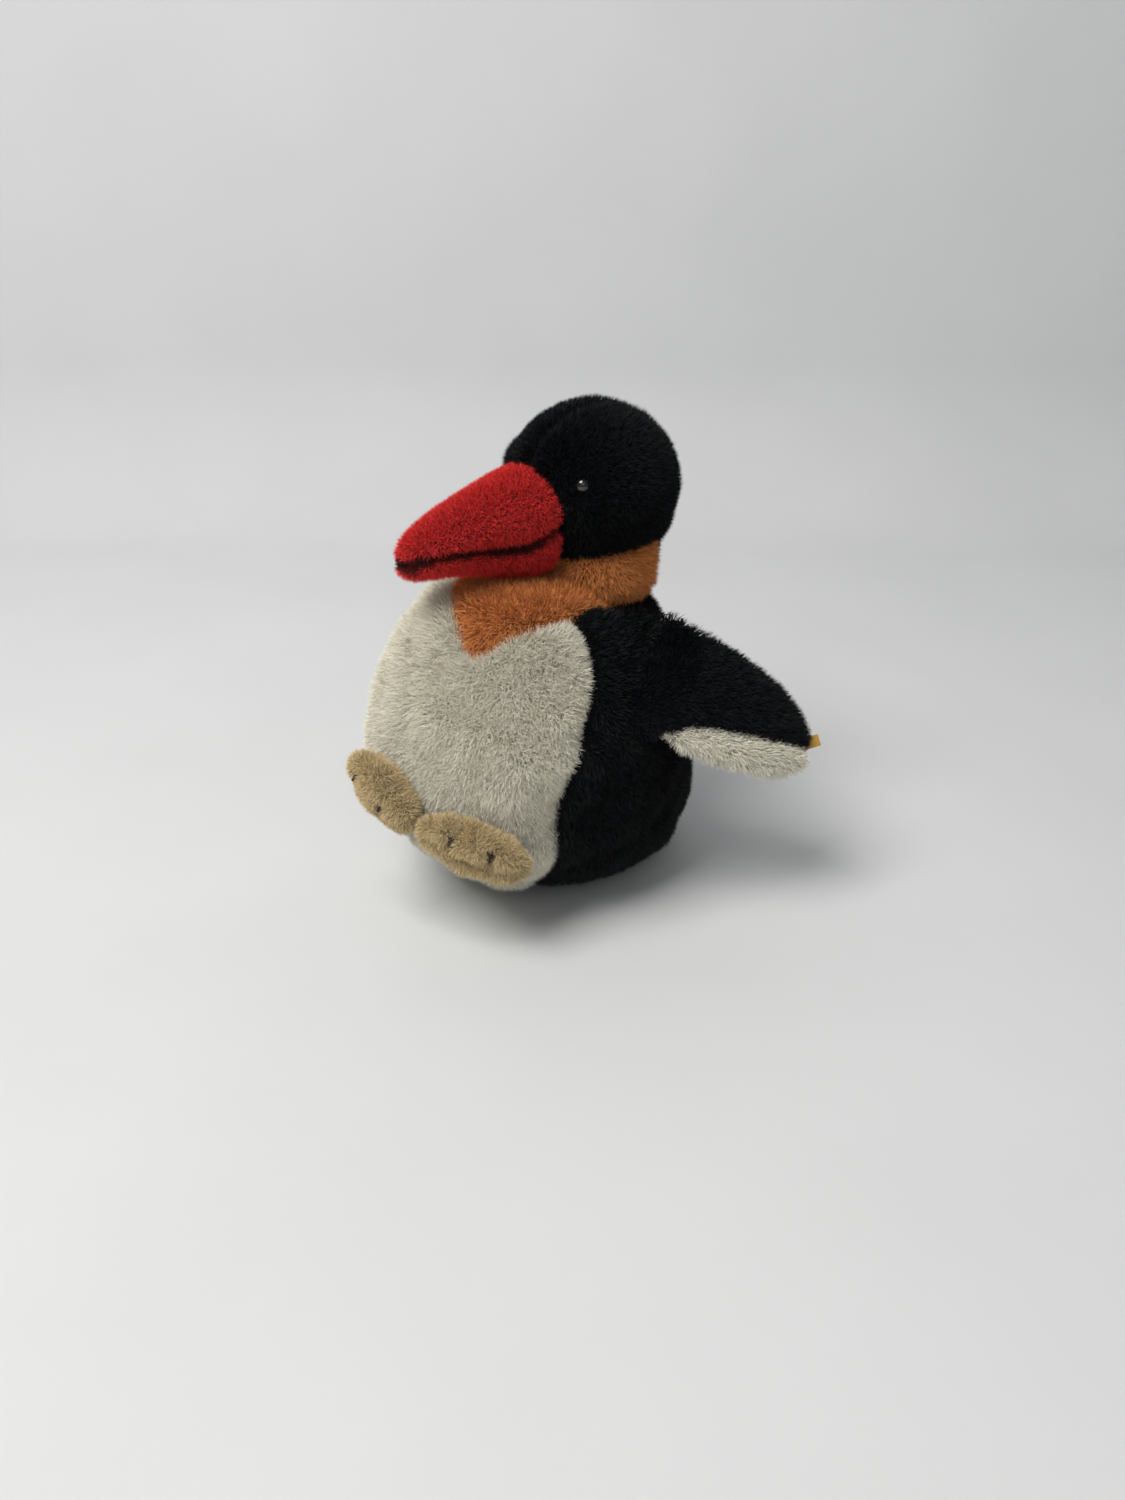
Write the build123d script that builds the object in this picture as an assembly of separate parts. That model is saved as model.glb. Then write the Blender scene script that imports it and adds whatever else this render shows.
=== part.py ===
from build123d import *
import os
from math import atan2, cos, degrees, hypot, radians, sin

# A standing plush penguin about 164 mm tall.  Millimetres, +Z up.  The front of the body faces -Y
# and the penguin's left side is +X.  The origin is the centre of the flat base it stands on.

os.makedirs("parts", exist_ok=True)

# ---- driving dimensions -------------------------------------------------------------------
SKIN = 1.4                # thickness of the plush backing cloth with its seam
SKIN_GAP = 0.3            # room between the cloth and the filling inside it
SEAM_GAP = 0.05           # half the gap left along a seam between two panels
BASE_PANEL_TOP = 3.0      # height at which the base panel is sewn to the body panels

BODY_TOP = 97.6           # flat top of the body, where the head sits
BODY_WIDTH_SCALE = 1.0    # widens or narrows the body as a whole
# rows of the body: height, front, rear, half width
BODY_ROWS = [
    (0.0, -30.0, 27.0, 27.0),
    (4.0, -50.0, 30.0, 35.0),
    (14.0, -68.0, 31.0, 43.0),
    (30.0, -80.0, 31.0, 50.5),
    (54.0, -86.0, 28.0, 54.0),
    (72.0, -83.0, 25.0, 51.5),
    (86.0, -75.0, 23.0, 42.5),
    (94.0, -62.0, 21.0, 31.0),
    (BODY_TOP, -44.0, 19.5, 22.5),
]
# side seam between white front and black back: height, depth
SIDE_SEAM = [(-5, -44), (12, -56), (32, -60), (59, -60), (70, -56), (84, -48), (92, -41), (110, -26)]
BIB_EDGE_FRONT = 91.0     # height of the lower edge of the orange bib at the front of the chest
BIB_EDGE_RISE = 12.0      # how far that edge rises towards the side seams
BIB_HALF_WIDTH = 30.0

PELLET_BAG = (24.0, 21.0, 9.5)     # half sizes of the bag of pellets in the base
PELLET_BAG_Y = 1.0
PELLET_BAG_WALL = 0.6
PELLET_BAG_FLOOR = 2.0    # its lowest point above the base cloth

NECK_Y = 2.0              # the neck joint stands this far behind the origin
NECK_GAP = 0.4            # between the top of the body and the bottom of the head
HEAD_TURN = -9.0          # the head looks this many degrees to the penguin's right
HEAD_RADIUS = 27.6        # the round upper part of the head
HEAD_MIDDLE = 38.0        # height of its centre above the head's bottom
HEAD_CROWN_TURNS = (0, 18, 36, 54, 72, 82)     # where the round part is drawn through
# rows below that centre: height above the head's bottom, radius
HEAD_ROWS = [(0.0, 13.5), (5.0, 17.8), (12.0, 19.2), (20.0, 22.3), (29.0, 26.2)]
CHEEK_TOP = 21.0          # height of the top edge of the orange cheek band above the head's bottom
CHEEK_DROP = 4.0          # how much lower that edge is at the beak
NAPE_Y = 13.0             # behind this the black hood runs down to the neck

# rows of the beak: distance forward of the neck axis, height above head bottom, half width, half height
BEAK_ROWS = [(10.0, 35.5, 12.5, 12.0), (22.0, 35.0, 13.0, 12.5), (37.0, 32.7, 12.3, 12.0),
             (53.0, 28.6, 10.8, 10.0), (66.0, 24.2, 8.6, 7.6), (72.4, 22.0, 5.4, 4.8),
             (75.2, 21.2, 2.2, 2.0)]
MOUTH_DROP = 4.5          # the mouth seam lies this far below the middle of the beak

EYE_TURN = 44.0           # each eye sits this many degrees round from the beak
EYE_RISE = 10.0           # and this many degrees above the widest part of the head
EYE_RADIUS = 2.8
EYE_SHANK_RADIUS = 1.0
EYE_SHANK_LENGTH = 7.0
EYE_WASHER_RADIUS = 4.2
EYE_WASHER_THICK = 0.8

JOINT_DISC_RADIUS = 10.5
JOINT_DISC_THICK = 1.5
JOINT_STEM_RADIUS = 2.5
JOINT_STEM_CLEARANCE = 0.06
JOINT_LOCK_RADIUS = 6.0
JOINT_LOCK_THICK = 2.0
JOINT_PLAY = 0.15
JOINT_STEM_LENGTH = 12.0  # from the underside of the stem disc down

WING_ROOT = (50.5 * BODY_WIDTH_SCALE, -10.0, 85.5)    # middle of the sewn root of the left wing
WING_ALONG = (0.506, 0.70, -0.506)     # from the root towards the tip
WING_ACROSS = (-0.291, 0.689, 0.664)   # from the lower edge towards the upper edge
# rows of a wing: distance from root, middle of the chord, half chord, half thickness
WING_ROWS = [(0.0, -4.6, 20.6, 3.4), (12.0, -4.6, 20.6, 5.6), (25.0, -5.0, 19.0, 6.6), (36.0, -5.4, 16.6, 6.2),
             (45.0, -6.0, 12.8, 5.2), (51.0, -6.8, 7.6, 3.6), (54.0, -7.2, 3.2, 1.8)]
WING_SEAM_TILT = 10.0     # the seam of a wing is turned about its length by this angle
WING_SEAM_OFFSET = 3.0
WING_SKIN = 1.2

TAB_SIZE = (8.5, 4.0, 0.5)     # ribbon tab in the tip of the left wing: length, width, thickness
TAB_SETBACK = 2.0         # how far its sewn end reaches into the wing's tip
TAB_ACROSS = -3.4         # where it leaves the tip, across the wing
TAB_SHORT = 2.2           # and how far short of the wing's full length
TAB_TURN = 38.0           # it points this far towards the wing's upper edge

FOOT_SIZE = (38.0, 12.0, 16.5)     # length along the belly, thickness, height
FOOT_LEFT_TURN = 29.0     # place of the left foot round the belly, degrees from the front
FOOT_RIGHT_TURN = -3.0
FOOT_LEFT_HEIGHT = 39.0
FOOT_RIGHT_HEIGHT = 50.0
FOOT_LEFT_SLOPE = 18.0    # both feet hang lower on the penguin's left
FOOT_RIGHT_SLOPE = 32.0
FOOT_GAP = 1.8            # room between a foot and the belly
FOOT_SKIN = 1.2
TOE_STITCH_RADIUS = 0.45
TOE_STITCH_LENGTH = 2.6
TOE_STITCH_RISE = 0.5     # how far up the pad's half height they lie
TOE_STITCH_PLACES = (-7.0, 6.5)

HOLE_ROOM = 0.2           # added to the radius of a hole that something passes through
POCKET_ROOM = 0.5         # added to the radius of the filling's pocket round the neck disc
FILLING_ROOM = 0.1        # room between the filling and what is packed in it
STEM_OVERLAP = 0.5        # how far the stem runs into its disc
EYE_WASHER_DEPTH = 1.4    # middle of an eye washer below the inside of the cloth
FAR = 200.0               # well outside the toy


# ---- helpers --------------------------------------------------------------------------------
def save(shape, name):
    export_step(shape, f"parts/{name}.step")


def inset_curve(points, depth):
    """Moves the points of an open outline (radius, height) inwards by depth, square to the outline."""
    moved = []
    last = len(points) - 1
    for i, (radius, height) in enumerate(points):
        before = points[max(i - 1, 0)]
        after = points[min(i + 1, last)]
        run = after[0] - before[0]
        rise = after[1] - before[1]
        length = hypot(run, rise)
        moved.append((radius - depth * rise / length, height + depth * run / length))
    return moved


def body_solid(depth):
    """The body's outer shape, made smaller all round by depth."""
    flat = [(row[3] * BODY_WIDTH_SCALE, row[0]) for row in BODY_ROWS]
    inner = inset_curve(flat, depth)
    inner[0] = (inner[0][0], BODY_ROWS[0][0] + depth)
    inner[-1] = (inner[-1][0], BODY_ROWS[-1][0] - depth)
    sections = []
    for row, (half_width, height) in zip(BODY_ROWS, inner):
        shrink = row[3] * BODY_WIDTH_SCALE - half_width
        middle = (row[1] + row[2]) / 2
        half_depth = (row[2] - row[1]) / 2 - shrink
        sections.append(Pos(0, middle, height) * Ellipse(half_width, half_depth))
    return loft(sections)


def head_place():
    """The head's own frame: on the neck axis, at the head's bottom, turned to one side."""
    return Pos(0, NECK_Y, BODY_TOP + NECK_GAP) * Rot(0, 0, HEAD_TURN)


def head_solid(depth):
    """The head's outer shape in its own frame, made smaller all round by depth."""
    outline = [(radius, height) for height, radius in HEAD_ROWS] + [(HEAD_RADIUS, HEAD_MIDDLE)]
    inner = inset_curve(outline, depth)[:-1]
    inner[0] = (inner[0][0], depth)
    widest = HEAD_RADIUS - depth
    round_part = []
    for turn in HEAD_CROWN_TURNS:
        angle = radians(turn)
        round_part.append((widest * cos(angle), HEAD_MIDDLE + widest * sin(angle)))
    top = (0, HEAD_MIDDLE + widest)
    side = Spline(inner + round_part + [top])
    floor = Line((0, depth), inner[0])
    axis = Line(top, (0, depth))
    face = make_face(Plane.XZ * (floor + side + axis))
    return revolve(face, Axis.Z)


def beak_solid(depth):
    """The beak's outer shape in the head's frame, made smaller all round by depth."""
    sections = []
    last = len(BEAK_ROWS) - 1
    for i, (forward, height, half_width, half_height) in enumerate(BEAK_ROWS):
        reach = forward - depth if i == last else forward
        plane = Plane(origin=(0, -reach, height), x_dir=(1, 0, 0), z_dir=(0, -1, 0))
        sections.append(plane * Ellipse(half_width - depth * 0.9, half_height - depth * 0.9))
    return loft(sections)


def wing_plane():
    return Plane(origin=WING_ROOT, x_dir=WING_ACROSS, z_dir=WING_ALONG)


def wing_solid(depth):
    """The left wing's outer shape, made smaller all round by depth."""
    sections = []
    last = len(WING_ROWS) - 1
    for i, (along, middle, half_chord, half_thick) in enumerate(WING_ROWS):
        place = along
        if i == 0:
            place = along + depth
        if i == last:
            place = along - depth
        plane = wing_plane().offset(place)
        sections.append(plane * Pos(middle, 0) * Ellipse(half_chord - depth, half_thick - depth * 0.9))
    return loft(sections)


def foot_place(turn, height, tilt):
    """The frame of a foot pad: X along the belly, -Y away from it."""
    rows = BODY_ROWS
    for lower, upper in zip(rows, rows[1:]):
        if lower[0] <= height <= upper[0]:
            share = (height - lower[0]) / (upper[0] - lower[0])
            front = lower[1] + share * (upper[1] - lower[1])
            rear = lower[2] + share * (upper[2] - lower[2])
            half = (lower[3] + share * (upper[3] - lower[3])) * BODY_WIDTH_SCALE
            slope = degrees(atan2(lower[1] - upper[1], upper[0] - lower[0]))
    middle = (front + rear) / 2
    half_depth = (rear - front) / 2
    angle = radians(turn)
    reach = 1.0 / hypot(sin(angle) / half, cos(angle) / half_depth)
    stand = reach + FOOT_GAP + FOOT_SIZE[1] / 2
    place = Pos(stand * sin(angle), middle - stand * cos(angle), height)
    return place * Rot(0, 0, turn) * Rot(slope, 0, 0) * Rot(0, tilt, 0)


def ellipsoid(half_x, half_y, half_z):
    return scale(Sphere(1), (half_x, half_y, half_z))


def slab_above(height):
    return Pos(0, 0, height + FAR) * Box(2 * FAR, 2 * FAR, 2 * FAR)


def slab_below(height):
    return Pos(0, 0, height - FAR) * Box(2 * FAR, 2 * FAR, 2 * FAR)


def slab_beside(gap):
    """Everything on the penguin's left, from a gap beside its middle plane."""
    return Pos(gap + FAR, 0, 0) * Box(2 * FAR, 2 * FAR, 2 * FAR)


# ---- neck joint: a plastic stem disc in the head, a washer and a lock ring in the body -------
head_bottom = BODY_TOP + NECK_GAP
stem_disc_floor = head_bottom + SKIN + SKIN_GAP
washer_top = BODY_TOP - SKIN - SKIN_GAP
lock_top = washer_top - JOINT_DISC_THICK - JOINT_PLAY
stem_bore = JOINT_STEM_RADIUS + JOINT_STEM_CLEARANCE
joint_pocket_radius = JOINT_DISC_RADIUS + POCKET_ROOM


def neck_column(radius, low, high):
    return Pos(0, NECK_Y, (low + high) / 2) * Cylinder(radius, high - low)


def make_neck_joint():
    disc = neck_column(JOINT_DISC_RADIUS, stem_disc_floor, stem_disc_floor + JOINT_DISC_THICK)
    stem = neck_column(JOINT_STEM_RADIUS, stem_disc_floor - JOINT_STEM_LENGTH, stem_disc_floor + STEM_OVERLAP)
    save(disc + stem, "neck_stem_disc")
    washer = neck_column(JOINT_DISC_RADIUS, washer_top - JOINT_DISC_THICK, washer_top)
    save(washer - neck_column(stem_bore, 0, FAR), "neck_washer")
    lock = neck_column(JOINT_LOCK_RADIUS, lock_top - JOINT_LOCK_THICK, lock_top)
    save(lock - neck_column(JOINT_STEM_RADIUS, 0, FAR), "neck_lock_ring")


# ---- body -----------------------------------------------------------------------------------
def front_side():
    """Everything in front of the side seams."""
    edge = Spline([(depth, height) for height, depth in SIDE_SEAM])
    start = edge @ 0
    end = edge @ 1
    far = Polyline((end.X, end.Y), (-FAR, end.Y), (-FAR, start.Y), (start.X, start.Y))
    face = make_face(Plane.YZ * (edge + far))
    return extrude(face, amount=FAR, both=True)


def bib_side():
    """Everything above the lower edge of the bib."""
    low = BIB_EDGE_FRONT
    high = BIB_EDGE_FRONT + BIB_EDGE_RISE
    edge = Spline((-BIB_HALF_WIDTH, high), (0, low), (BIB_HALF_WIDTH, high))
    wide = BIB_HALF_WIDTH
    lid = Polyline((wide, high), (wide, FAR), (-wide, FAR), (-wide, high))
    face = make_face(Plane.XZ * (edge + lid))
    return extrude(face, amount=FAR, both=True)


def make_body():
    outer = body_solid(0)
    skin = outer - body_solid(SKIN)
    skin -= neck_column(stem_bore + HOLE_ROOM, BODY_ROWS[4][0], FAR)
    save(skin & slab_below(BASE_PANEL_TOP), "base_panel")
    upper = skin & slab_above(BASE_PANEL_TOP + SEAM_GAP)
    front = upper & front_side()
    back = upper - front
    bib = front & bib_side()
    save(front - bib, "belly_panel")
    save(bib, "throat_bib")
    half = slab_beside(SEAM_GAP)
    save(back & half, "back_panel_left")
    save(back & mirror(half, Plane.YZ), "back_panel_right")


def make_filling():
    bag_x, bag_y, bag_z = PELLET_BAG
    place = Pos(0, PELLET_BAG_Y, SKIN + PELLET_BAG_FLOOR + bag_z)
    bag = place * ellipsoid(bag_x, bag_y, bag_z)
    inside = bag_x - PELLET_BAG_WALL, bag_y - PELLET_BAG_WALL, bag_z - PELLET_BAG_WALL
    save(bag - place * ellipsoid(*inside), "pellet_bag")
    save(place * ellipsoid(*[size - FILLING_ROOM for size in inside]), "pellets")
    pocket = place * ellipsoid(*[size + FILLING_ROOM for size in PELLET_BAG])
    stuffing = body_solid(SKIN + SKIN_GAP) - pocket
    stuffing -= neck_column(joint_pocket_radius, stem_disc_floor - JOINT_STEM_LENGTH - POCKET_ROOM, FAR)
    save(stuffing, "body_stuffing")


# ---- head -----------------------------------------------------------------------------------
def eye_place(side):
    return Pos(0, 0, HEAD_MIDDLE) * Rot(0, 0, side * EYE_TURN) * Rot(-EYE_RISE, 0, 0)


def make_eye(name, side):
    """A bead with a shank through the hood, held by a washer inside."""
    surface = HEAD_RADIUS
    place = eye_place(side)
    bead = Pos(0, -surface, 0) * Sphere(EYE_RADIUS)
    bead -= Pos(0, FAR - surface, 0) * Box(2 * FAR, 2 * FAR, 2 * FAR)
    shank_middle = -surface + EYE_SHANK_LENGTH / 2
    shank = Pos(0, shank_middle, 0) * Rot(90, 0, 0) * Cylinder(EYE_SHANK_RADIUS, EYE_SHANK_LENGTH)
    save(head_place() * place * (bead + shank), f"eye_{name}")
    washer_middle = -surface + SKIN + EYE_WASHER_DEPTH
    washer = Pos(0, washer_middle, 0) * Rot(90, 0, 0) * Cylinder(EYE_WASHER_RADIUS, EYE_WASHER_THICK)
    hole = Pos(0, washer_middle, 0) * Rot(90, 0, 0) * Cylinder(EYE_SHANK_RADIUS, 2 * EYE_WASHER_THICK)
    save(head_place() * place * (washer - hole), f"eye_washer_{name}")


def eye_pocket(side, radius, start):
    """Room round an eye's shank from a depth below the head's surface inwards."""
    length = HEAD_RADIUS - start
    return eye_place(side) * Pos(0, -length / 2, 0) * Rot(90, 0, 0) * Cylinder(radius, length)


def cheek_side():
    """Everything below the top edge of the cheek band and in front of the nape."""
    low = CHEEK_TOP - CHEEK_DROP
    front = -2 * HEAD_RADIUS
    edge = Line((NAPE_Y, CHEEK_TOP), (front, low))
    rest = Polyline((front, low), (front, -HEAD_RADIUS), (NAPE_Y, -HEAD_RADIUS), (NAPE_Y, CHEEK_TOP))
    face = make_face(Plane.YZ * (edge + rest))
    return extrude(face, amount=FAR, both=True)


def make_head():
    outer = head_solid(0)
    beak = beak_solid(0)
    beak_inner = beak_solid(SKIN)
    skin = outer - head_solid(SKIN) - beak
    skin -= Cylinder(stem_bore + HOLE_ROOM, HEAD_RADIUS)
    for side in (1, -1):
        skin -= eye_pocket(side, EYE_SHANK_RADIUS + HOLE_ROOM, -HOLE_ROOM)
    cheek = skin & cheek_side()
    hood = skin - cheek
    save(head_place() * cheek, "cheek_band")
    half = slab_beside(SEAM_GAP)
    save(head_place() * (hood & half), "hood_left")
    save(head_place() * (hood & mirror(half, Plane.YZ)), "hood_right")

    beak_skin = beak - beak_inner - outer
    first = BEAK_ROWS[1]
    last = BEAK_ROWS[-2]
    slope = degrees(atan2(last[1] - first[1], -(last[0] - first[0])))
    mouth = Plane(origin=(0, -first[0], first[1] - MOUTH_DROP), x_dir=(1, 0, 0),
                  z_dir=Vector(0, 0, 1).rotate(Axis.X, slope - 180))
    save(head_place() * split(beak_skin, bisect_by=mouth, keep=Keep.TOP), "beak_upper")
    save(head_place() * split(beak_skin, bisect_by=mouth, keep=Keep.BOTTOM), "beak_lower")
    save(head_place() * (beak_solid(SKIN + SKIN_GAP) - head_solid(SKIN)), "beak_stuffing")

    stuffing = head_solid(SKIN + SKIN_GAP)
    pocket_top = SKIN + SKIN_GAP + JOINT_DISC_THICK + FILLING_ROOM
    stuffing -= Cylinder(joint_pocket_radius, pocket_top * 2)
    for side in (1, -1):
        stuffing -= eye_pocket(side, EYE_WASHER_RADIUS + HOLE_ROOM, SKIN)
    save(head_place() * stuffing, "head_stuffing")
    make_eye("left", 1)
    make_eye("right", -1)


# ---- wings ----------------------------------------------------------------------------------
def make_wings():
    skin = wing_solid(0) - wing_solid(WING_SKIN)
    frame = wing_plane()
    across = frame.x_dir
    outward = frame.y_dir
    tilt = radians(WING_SEAM_TILT)
    seam_normal = outward * cos(tilt) + across * sin(tilt)
    seam = Plane(origin=frame.origin + outward * WING_SEAM_OFFSET, x_dir=frame.z_dir, z_dir=seam_normal)
    pieces = {
        "outer": split(skin, bisect_by=seam, keep=Keep.TOP),
        "lining": split(skin, bisect_by=seam, keep=Keep.BOTTOM),
        "stuffing": wing_solid(WING_SKIN + SKIN_GAP),
    }
    length, width, thick = TAB_SIZE
    tip = WING_ROWS[-1]
    tab_place = wing_plane().offset(tip[0] - TAB_SHORT) * Pos(TAB_ACROSS, 0) * Rot(0, TAB_TURN, 0)
    tab = tab_place * Pos(0, 0, length / 2 - TAB_SETBACK) * Box(width, thick, length)
    save(tab, "ribbon_tab")
    pieces["outer"] -= tab
    pieces["lining"] -= tab
    pieces["stuffing"] -= tab
    for name, piece in pieces.items():
        save(piece, f"wing_left_{name}")
        save(mirror(piece, Plane.YZ), f"wing_right_{name}")


# ---- feet -----------------------------------------------------------------------------------
def toe_stitch(along, half):
    """A short thread lying on the outside of a foot pad, half sunk in its cloth."""
    height = half[2] * TOE_STITCH_RISE
    depth = half[1] * (1 - (along / half[0]) ** 2 - TOE_STITCH_RISE ** 2) ** 0.5
    outward = Vector(along / half[0] ** 2, -depth / half[1] ** 2, height / half[2] ** 2)
    surface = Plane(origin=(along, -depth, height), x_dir=(1, 0, 0), z_dir=outward)
    return surface * Rot(90, 0, 0) * Cylinder(TOE_STITCH_RADIUS, TOE_STITCH_LENGTH)


def make_foot(name, turn, height, tilt):
    half = [size / 2 for size in FOOT_SIZE]
    outer = ellipsoid(*half)
    inner = ellipsoid(*[value - FOOT_SKIN for value in half])
    filling = ellipsoid(*[value - FOOT_SKIN - SKIN_GAP for value in half])
    place = foot_place(turn, height, tilt)
    threads = [toe_stitch(along, half) for along in TOE_STITCH_PLACES]
    skin = outer - inner
    for thread in threads:
        skin -= thread
        filling -= thread
    save(place * (skin & slab_above(0)), f"foot_{name}_top")
    save(place * (skin & slab_below(-SEAM_GAP)), f"foot_{name}_sole")
    save(place * filling, f"foot_{name}_stuffing")
    save(Compound(children=[place * thread for thread in threads]), f"foot_{name}_toe_stitches")


make_neck_joint()
make_body()
make_filling()
make_head()
make_wings()
make_foot("left", FOOT_LEFT_TURN, FOOT_LEFT_HEIGHT, FOOT_LEFT_SLOPE)
make_foot("right", FOOT_RIGHT_TURN, FOOT_RIGHT_HEIGHT, FOOT_RIGHT_SLOPE)
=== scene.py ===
import math

import bmesh
import bpy
import numpy as np
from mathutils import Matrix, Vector, noise
from mathutils.bvhtree import BVHTree
from mathutils.kdtree import KDTree


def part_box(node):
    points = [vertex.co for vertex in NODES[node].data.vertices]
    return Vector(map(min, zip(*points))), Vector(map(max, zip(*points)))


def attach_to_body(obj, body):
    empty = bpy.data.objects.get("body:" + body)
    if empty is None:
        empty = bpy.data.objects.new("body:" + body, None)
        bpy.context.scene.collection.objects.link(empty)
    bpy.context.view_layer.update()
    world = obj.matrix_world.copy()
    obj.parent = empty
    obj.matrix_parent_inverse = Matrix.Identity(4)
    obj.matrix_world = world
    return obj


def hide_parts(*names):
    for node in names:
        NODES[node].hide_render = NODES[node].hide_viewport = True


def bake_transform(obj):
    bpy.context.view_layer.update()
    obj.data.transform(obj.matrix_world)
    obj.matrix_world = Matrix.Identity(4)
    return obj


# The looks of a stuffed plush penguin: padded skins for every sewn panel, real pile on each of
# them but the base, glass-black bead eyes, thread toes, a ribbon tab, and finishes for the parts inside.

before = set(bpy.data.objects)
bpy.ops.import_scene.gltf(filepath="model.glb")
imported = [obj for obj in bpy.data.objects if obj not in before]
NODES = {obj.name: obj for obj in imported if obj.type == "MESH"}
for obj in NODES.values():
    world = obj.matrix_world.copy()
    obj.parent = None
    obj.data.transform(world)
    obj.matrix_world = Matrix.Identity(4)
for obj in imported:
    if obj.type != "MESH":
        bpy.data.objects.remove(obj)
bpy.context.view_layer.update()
MM = 0.001

# ---- sizes in millimetres ---------------------------------------------------------------------
CLOTH_THICK = 1.0          # plush backing cloth
FILLING_DEPTH = 1.3        # the filling starts this far below the cloth's outer face
FINE_GRID = 1.4            # edge length of a finished skin's mesh
COARSE_GRID = 4.5          # edge length of the mesh that is simulated as cloth
CLOTH_PRESSURE = 4.0
CLOTH_FRAMES = 20
SKIN_ROOM = 1.7            # from the filling's surface out to the cloth's outer face
TABLE_GAP = 0.25           # the cloth's lowest point above the table
PANEL_REACH = 9.0          # a skin belongs to the nearest CAD panel within this distance
UP = np.array([0.0, 0.0, 1.0])


# ---- small geometry tools ---------------------------------------------------------------------
def unit(vectors):
    return vectors / np.maximum(np.linalg.norm(vectors, axis=-1, keepdims=True), 1e-9)


def smooth_step(value, low, high):
    share = np.clip((value - low) / (high - low), 0.0, 1.0)
    return share * share * (3.0 - 2.0 * share)


def bump(distance, width):
    return np.exp(-((distance / width) ** 2))


def mesh_arrays(mesh):
    points = np.zeros(len(mesh.vertices) * 3)
    mesh.vertices.foreach_get("co", points)
    return points.reshape(-1, 3), [tuple(face.vertices) for face in mesh.polygons]


def new_mesh(name, points, faces):
    mesh = bpy.data.meshes.new(name)
    mesh.from_pydata([tuple(p) for p in points], [], [tuple(f) for f in faces])
    mesh.update()
    return mesh


def new_object(name, points, faces):
    thing = bpy.data.objects.new(name, new_mesh(name, points, faces))
    bpy.context.scene.collection.objects.link(thing)
    return thing


def drop(thing):
    mesh = thing.data
    bpy.data.objects.remove(thing)
    bpy.data.meshes.remove(mesh)


def finished_mesh(thing):
    """The object's mesh with its modifiers in it."""
    bpy.context.view_layer.update()
    graph = bpy.context.evaluated_depsgraph_get()
    return bpy.data.meshes.new_from_object(
        thing.evaluated_get(graph), preserve_all_data_layers=True, depsgraph=graph
    )


def shade_smooth(mesh):
    mesh.polygons.foreach_set("use_smooth", [True] * len(mesh.polygons))


def cad_tree(names):
    points, faces = [], []
    for name in names:
        more_points, more_faces = mesh_arrays(NODES[name].data)
        start = sum(len(p) for p in points)
        points.append(more_points)
        faces += [tuple(i + start for i in face) for face in more_faces]
    return BVHTree.FromPolygons([Vector(p) for p in np.vstack(points)], faces)


def even_grid(points, faces, size):
    """The same closed surface with evenly sized four-sided faces."""
    thing = new_object("even_grid", points, faces)
    remesh = thing.modifiers.new("even", "REMESH")
    remesh.mode = "VOXEL"
    remesh.voxel_size = size * MM
    mesh = finished_mesh(thing)
    result = mesh_arrays(mesh)
    bpy.data.meshes.remove(mesh)
    drop(thing)
    return result


def vertex_normals(points, faces):
    total = np.zeros_like(points)
    quads = np.array([f if len(f) == 4 else (f[0], f[1], f[2], f[2]) for f in faces])
    a, b, c, d = (points[quads[:, k]] for k in range(4))
    square = np.cross(c - a, d - b)
    short = quads[:, 2] == quads[:, 3]
    square[short] = np.cross(b[short] - a[short], c[short] - a[short])
    for k in range(4):
        np.add.at(total, quads[:, k], square)
    return unit(total)


def wrap(cloth_nodes, filling, centre, level):
    """A closed surface over the outer faces of the cloth nodes, as seen from centre (metres)."""
    ball = bmesh.new()
    bmesh.ops.create_icosphere(ball, subdivisions=level, radius=1.0)
    ways = np.array([v.co for v in ball.verts])
    faces = [tuple(v.index for v in f.verts) for f in ball.faces]
    ball.free()
    cloth = cad_tree(cloth_nodes)
    inside = cad_tree([filling])
    centre = np.array(centre)
    reach = np.zeros(len(ways))
    far = 0.3
    for i, way in enumerate(ways):
        start = Vector(centre + way * far)
        hit = cloth.ray_cast(start, Vector(-way), far)
        second = inside.ray_cast(start, Vector(-way), far)
        from_cloth = far - hit[3] if hit[0] is not None else 0.0
        from_filling = far - second[3] + SKIN_ROOM * MM if second[0] is not None else 0.0
        reach[i] = from_cloth if from_cloth > from_filling - 2.5 * MM else from_filling
    return centre + ways * reach[:, None], faces


# ---- sewn skins ----------------------------------------------------------------------------------
def panel_labels(points, faces, names, reach):
    """For each face, which of the CAD panels it lies on; -1 where no panel is near."""
    middles = np.array([points[list(f)].mean(axis=0) for f in faces])
    best = np.full(len(faces), reach * MM)
    label = np.full(len(faces), -1)
    for number, name in enumerate(names):
        tree = cad_tree([name])
        for i, middle in enumerate(middles):
            hit = tree.find_nearest(Vector(middle), best[i])
            if hit[0] is not None and hit[3] < best[i] - 1e-6:
                best[i] = hit[3]
                label[i] = number
    return label


def seam_edges(faces, label):
    """The edges where two panels meet."""
    sides = {}
    for i, face in enumerate(faces):
        for a, b in zip(face, face[1:] + face[:1]):
            sides.setdefault((min(a, b), max(a, b)), []).append(label[i])
    return [edge for edge, both in sides.items() if len(set(both)) > 1]


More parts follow.
